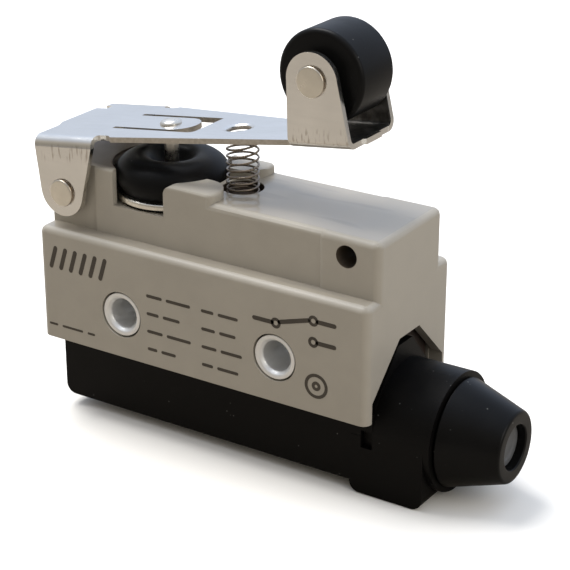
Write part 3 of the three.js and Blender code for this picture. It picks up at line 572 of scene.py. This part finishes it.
def turned(name, profile, axis, centre, look, segments=96, body="enclosure", node=None):
    """Turns a profile about an axis through centre; radius and height are in mm."""
    points = rounded(profile)
    closed = (points[0] - points[-1]).length < 1e-9
    if closed:
        points = points[:-1]
    build = bmesh.new()
    rings = []
    for radius, height in points:
        if radius < 1e-6:
            rings.append([build.verts.new((0, 0, height))])
            continue
        rings.append([
            build.verts.new((
                radius * math.cos(2 * math.pi * k / segments),
                radius * math.sin(2 * math.pi * k / segments),
                height,
            ))
            for k in range(segments)
        ])
    for a, b in zip(rings, rings[1:]):
        bridge(build, a, b)
    if closed:
        bridge(build, rings[-1], rings[0])
    turn = {
        "X": Matrix.Rotation(math.pi / 2, 4, "Y"),
        "Y": Matrix.Rotation(-math.pi / 2, 4, "X"),
        "Z": Matrix.Identity(4),
        "lever": Matrix.Rotation(-TILT, 4, "Y"),
    }[axis]
    mesh = mesh_from(name, build, Matrix.Translation(centre) @ turn)
    return finish_piece(name, mesh, look, body, node)


def lever_point(along, above):
    """A point in the lever's middle plane, along its plate and above its hinge axis."""
    return (
        HINGE[0] + along * math.cos(TILT) - above * math.sin(TILT),
        MID_Y,
        HINGE[1] + along * math.sin(TILT) + above * math.cos(TILT),
    )


# ---------------------------------------------------------------- turned pieces
HINGE_AXIS = (HINGE[0], MID_Y, HINGE[1])
FORK_AXLE = Vector(lever_point(40.8, 16.2))
STUD_FOOT = lever_point(13.1, 0)
ROLLER_PLAY = 0.22      # the roller sits this much nearer the far ear
PIN_SHAFT = 1.45
HEAD_HEIGHT = 0.5
HEAD_GAP = 0.03         # between a head and its ear
SLEEVE_HALF = 10.65     # half the length of a sleeve

for x, side in ((-HOLE_X, "left"), (HOLE_X, "right")):
    half = SLEEVE_HALF
    turned(
        f"sleeve_{side}",
        [
            (2.15, -half + 0.55, 0.2), (2.6, -half, 0.2), (3.15, -half, 0.12), (3.15, half, 0.12),
            (2.6, half, 0.2), (2.15, half - 0.55, 0.2), (2.15, -half + 0.55),
        ],
        "Y", (x, MID_Y, 0), "sleeve", node=f"mounting_sleeve_{side}",
    )

turned(
    "roller_wheel",
    [
        (1.55, -4.6, 0.1), (2.6, -4.6, 0.2), (2.6, -4.0, 0.15), (5.9, -4.0, 0.35), (6.35, -3.6, 0.35),
        (6.35, 3.6, 0.35), (5.9, 4.0, 0.35), (2.6, 4.0, 0.15), (2.6, 4.6, 0.2), (1.55, 4.6, 0.1),
        (1.55, -4.6),
    ],
    "Y", FORK_AXLE + Vector((0, ROLLER_PLAY, 0)), "roller",
    segments=128, body="roller", node="roller",
)


def headed_pin(name, node, head, outer, centre):
    """A pin with a head of this radius outside each ear, outer being half the width over the ears."""
    end = outer + HEAD_HEIGHT
    foot = outer + HEAD_GAP
    turned(
        name,
        [
            (0, -end), (head - 0.15, -end, 0.25), (head, -end + 0.2, 0.15), (head, -foot, 0.05),
            (PIN_SHAFT, -foot), (PIN_SHAFT, foot), (head, foot, 0.05),
            (head, end - 0.2, 0.15), (head - 0.15, end, 0.25), (0, end),
        ],
        "Y", centre, "head", segments=72, body="lever", node=node,
    )


headed_pin("hinge_pin_headed", "hinge_pin", 1.97, 9.5, HINGE_AXIS)
headed_pin("roller_axle_headed", "roller_axle", 2.1, 5.75, FORK_AXLE)

turned(
    "cap_of_cable_entry",
    [
        (4.9, 35.0, 0.1), (7.3, 35.0, 0.15), (7.5, 35.2, 0.2), (4.98, 43.0, 0.25), (4.7, 43.2, 0.2),
        (3.25, 43.2, 0.12), (3.1, 43.05, 0.12), (3.1, 40.1, 0.1), (4.9, 40.1), (4.9, 35.0),
    ],
    "X", (0, MID_Y, ENTRY_Z), "cap", segments=128, node="gland_cap",
)

turned(
    "entry_disc",
    [
        (0, 41.82), (1.9, 41.82, 0.3), (2.2, 42.0, 0.2), (2.98, 42.0, 0.15), (2.98, 41.4, 0.1), (0, 41.4),
    ],
    "X", (0, MID_Y, ENTRY_Z), "blank", segments=72, node="entry_blank",
)

turned(
    "boot_clamp",
    [(7.0, 15.1), (7.85, 15.1, 0.2), (7.85, 16.0, 0.42), (7.0, 16.0), (7.0, 15.1)],
    "Z", (PLUNGER_X, MID_Y, 0), "ring", segments=128, node="boot_clamp_ring",
)

# A thin dark brown cup lining the spring's recess: painted shade that makes the shallow recess look deep.
turned(
    "spring_recess_shade_cup",
    [
        (0, 17.155), (2.93, 17.155), (2.93, 18.06), (2.88, 18.06), (2.88, 17.2, 0.1), (0, 17.19),
    ],
    "Z", (SPRING_X, MID_Y, 0), "recess_shade", segments=72,
)

turned(
    "plunger_pin",
    [
        (0, 12.0), (2.3, 12.0, 0.1), (2.3, 12.7, 0.1), (1.0, 12.7), (1.0, 22.9, 0.2),
        (0.75, 23.4, 0.2), (0.3, 23.52, 0.2), (0, 23.52),
    ],
    "Z", (PLUNGER_X, MID_Y, 0), "pin", segments=48, body="plunger", node="plunger",
)

turned(
    "tongue_stud_domed",
    [
        (0, 6.9), (1.1, 6.9, 0.1), (1.2, 7.0, 0.1), (1.2, 7.23), (0.8, 7.23), (0.8, 8.0),
        (1.5, 8.0), (1.55, 8.12, 0.08), (1.32, 8.44, 0.3), (0.7, 8.6, 0.3), (0, 8.62),
    ],
    "lever", STUD_FOOT, "pin", segments=72, body="lever", node="tongue_stud",
)


# ---------------------------------------------------------------- soft and springy pieces
def flowing(points, steps=6):
    """A smooth curve through the points."""
    points = [Vector(p) for p in points]
    padded = [2 * points[0] - points[1], *points, 2 * points[-1] - points[-2]]
    out = []
    for a, b, c, d in zip(padded, padded[1:], padded[2:], padded[3:]):
        for k in range(steps):
            t = k / steps
            out.append(0.5 * (
                2 * b + (c - a) * t
                + (2 * a - 5 * b + 4 * c - d) * t ** 2
                + (3 * b - a - 3 * c + d) * t ** 3))
    out.append(points[-1])
    return out


def skin_of(outside, thickness):
    """The closed outline of a skin whose outside runs from its root to its lip."""
    inside = []
    for i, point in enumerate(outside):
        along = outside[min(i + 1, len(outside) - 1)] - outside[max(i - 1, 0)]
        inward = Vector((-along.y, along.x)).normalized()
        inside.append(point + inward * thickness)
    loop = outside + inside[::-1]
    return [tuple(p) for p in loop] + [tuple(loop[0])]


boot = turned(
    "boot_bellow",
    skin_of(flowing([
        (7.3, 14.5), (7.15, 15.3), (7.05, 16.0), (7.55, 16.75), (8.0, 17.7), (8.0, 18.7), (7.5, 19.75),
        (6.55, 20.55), (5.4, 20.98), (4.2, 21.0), (3.3, 20.62), (2.65, 19.95), (2.0, 19.3), (1.5, 19.0),
        (1.16, 18.6),
    ]), 0.8),
    "Z", (PLUNGER_X, MID_Y, 0), "rubber", segments=144, node="boot",
)
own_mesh(boot)


def wire_coil(name, x, radius, wire, low, high, turns, node, body=None, gather=0.0, lean=0.0):
    """A coil whose end turns lie close; gather crowds its lower turns and lean tips its top turn."""
    sides = 12                          # of the wire's section
    per_turn = 40
    rise = high - low - 2 * wire
    end_share = 2.2 * wire / rise       # of the rise, for each end turn; 2 wire would touch
    build = bmesh.new()
    count = turns * per_turn
    path = []
    for i in range(count + 1):
        n = i / per_turn
        middle = min(max((n - 1) / (turns - 2), 0), 1)
        share = end_share * min(n, 1) + (1 - 2 * end_share) * (middle + gather * middle * (middle - 1))
        share += end_share * max(n - turns + 1, 0)
        angle = 2 * math.pi * n
        across = radius * math.cos(angle)
        z = low + wire + rise * share + lean * across * min(1, share * 1.2) ** 2
        path.append(Vector((across, radius * math.sin(angle), z)))
    rings = []
    for i, point in enumerate(path):
        along = (path[min(i + 1, count)] - path[max(i - 1, 0)]).normalized()
        out = Vector((point.x, point.y, 0)).normalized()
        up = along.cross(out).normalized()
        out = up.cross(along)
        rings.append([
            build.verts.new(point + wire * (
                math.cos(2 * math.pi * k / sides) * out + math.sin(2 * math.pi * k / sides) * up))
            for k in range(sides)
        ])
    for a, b in zip(rings, rings[1:]):
        bridge(build, a, b)
    build.faces.new(rings[0])
    build.faces.new(rings[-1])
    mesh = mesh_from(name, build, Matrix.Translation((x, MID_Y, 0)))
    return finish_piece(name, mesh, "spring", body, node)


lever_spring = wire_coil(
    "return_spring_coil", SPRING_X, radius=2.15, wire=0.155, low=17.2, high=25.94, turns=10,
    node="return_spring", gather=0.14, lean=math.tan(TILT))
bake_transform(lever_spring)

plunger_spring = wire_coil(
    "overtravel_spring_coil", PLUNGER_X, radius=1.75, wire=0.17, low=9.36, high=11.94, turns=3,
    node="overtravel_spring", body="enclosure")
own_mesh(plunger_spring)


# ---------------------------------------------------------------- plain printed marks
INK_DEPTH = 0.01        # of a mark's foot in the front face
INK_HEIGHT = 0.02


def raised_mark(build, outer, inner=None):
    """A flat mark proud of the front face, from its outline and, for a ring, the outline of its hole."""
    low = [build.verts.new((x, FRONT_Y + INK_DEPTH, z)) for x, z in outer]
    high = [build.verts.new((x, FRONT_Y - INK_HEIGHT, z)) for x, z in outer]
    if inner is None:
        build.faces.new(high)
        build.faces.new(low[::-1])
    else:
        inner_low = [build.verts.new((x, FRONT_Y + INK_DEPTH, z)) for x, z in inner]
        inner_high = [build.verts.new((x, FRONT_Y - INK_HEIGHT, z)) for x, z in inner]
        bridge(build, high, inner_high)
        bridge(build, inner_low, low)
        bridge(build, inner_high, inner_low)
    bridge(build, low, high)


BAR_END_STEPS = 6
RING_STEPS = 28


def printed_marks(name, bars, rings):
    """Round-ended bars and rings on the front face: (x, z, x, z, width) and (x, z, radius, width)."""
    build = bmesh.new()
    for x0, z0, x1, z1, width in bars:
        turn = math.atan2(z1 - z0, x1 - x0)
        outline = []
        for x, z, first in ((x1, z1, -math.pi / 2), (x0, z0, math.pi / 2)):
            for k in range(BAR_END_STEPS + 1):
                angle = turn + first + math.pi * k / BAR_END_STEPS
                outline.append((x + width / 2 * math.cos(angle), z + width / 2 * math.sin(angle)))
        raised_mark(build, outline)
    for x, z, radius, width in rings:
        turns = [2 * math.pi * k / RING_STEPS for k in range(RING_STEPS)]
        circle = [(math.cos(turn), math.sin(turn)) for turn in turns]
        outer, inner = radius + width / 2, radius - width / 2
        raised_mark(
            build,
            [(x + outer * a, z + outer * b) for a, b in circle],
            [(x + inner * a, z + inner * b) for a, b in circle])
    mesh = mesh_from(name, build, Matrix.Identity(4))
    finish_piece(name, mesh, "print", "enclosure", None, sharp=30)


BOLD, PLAIN, FINE = 0.62, 0.46, 0.34     # widths of the strokes
DASH_GAP = 1.15
ROW_PITCH = 2.65


def dashes(x, z, lengths, width):
    """A row of round-ended dashes that starts at x."""
    bars = []
    for length in lengths:
        bars.append((x, z, x + length, z, width))
        x += length + DASH_GAP
    return bars


printed_marks(
    "changeover_symbol",
    bars=[
        (9.6, 5.1, 12.4, 5.1, BOLD), (13.6, 5.4, 18.0, 6.7, BOLD),
        (19.5, 6.8, 22.0, 6.8, BOLD), (19.5, 3.8, 22.0, 3.8, BOLD),
    ],
    rings=[(x, z, 0.55, BOLD * 0.7) for x, z in ((13.0, 5.1), (18.8, 6.8), (18.8, 3.8))],
)
printed_marks(
    "slanted_hatch",
    bars=[(-24.9 + 1.75 * k, 4.7, -24.0 + 1.75 * k, 7.5, BOLD * 1.1) for k in range(6)],
    rings=[],
)
printed_marks(
    "dashed_rows",
    bars=[
        bar
        for x, rows in (
            (-8.0, ((2.2, 3.6), (1.6, 2.4), (2.2, 3.6), (1.2, 2.0))),
            (1.2, ((1.6, 2.8), (1.8, 2.2), (2.0, 3.0), (1.4, 3.0))),
        )
        for row, lengths in enumerate(rows)
        for bar in dashes(x, 4.0 - ROW_PITCH * row, lengths, PLAIN)
    ] + dashes(-25.6, -4.3, (1.2, 3.4, 1.0), FINE),
    rings=[(19.3, -2.4, 1.55, PLAIN), (19.3, -2.4, 0.45, PLAIN)],
)

# ---------------------------------------------------------------- looks of the carried-over nodes
KEPT_NODES = {      # look and width of the softened edges: the nodes
    ("paint", 0.22): ["housing"],
    ("cover", 0.22): ["base_cover"],
    ("steel", 0.12): ["lever_plate"],
    ("rubber", 0): ["cover_gasket"],
    ("rubber", 0.1): ["cable_seal"],
    ("nylon", 0.08): ["inner_button"],
    ("bakelite", 0.15): ["switch_base", "switch_lid"],
    ("pin", 0.05): ["seal_washer"],
    ("pin", 0.08): [
        "cover_screw_left", "cover_screw_right",
        "terminal_screw_common", "terminal_screw_open", "terminal_screw_closed",
    ],
    ("brass", 0): ["snap_blade"],
    ("brass", 0.08): ["guide_bush", "terminal_common", "terminal_open", "terminal_closed"],
    ("silver", 0): ["moving_contact"],
    ("silver", 0.06): ["fixed_contact_closed", "fixed_contact_open"],
}
for (look, width), names in KEPT_NODES.items():
    for name in names:
        soften(name, look, width)
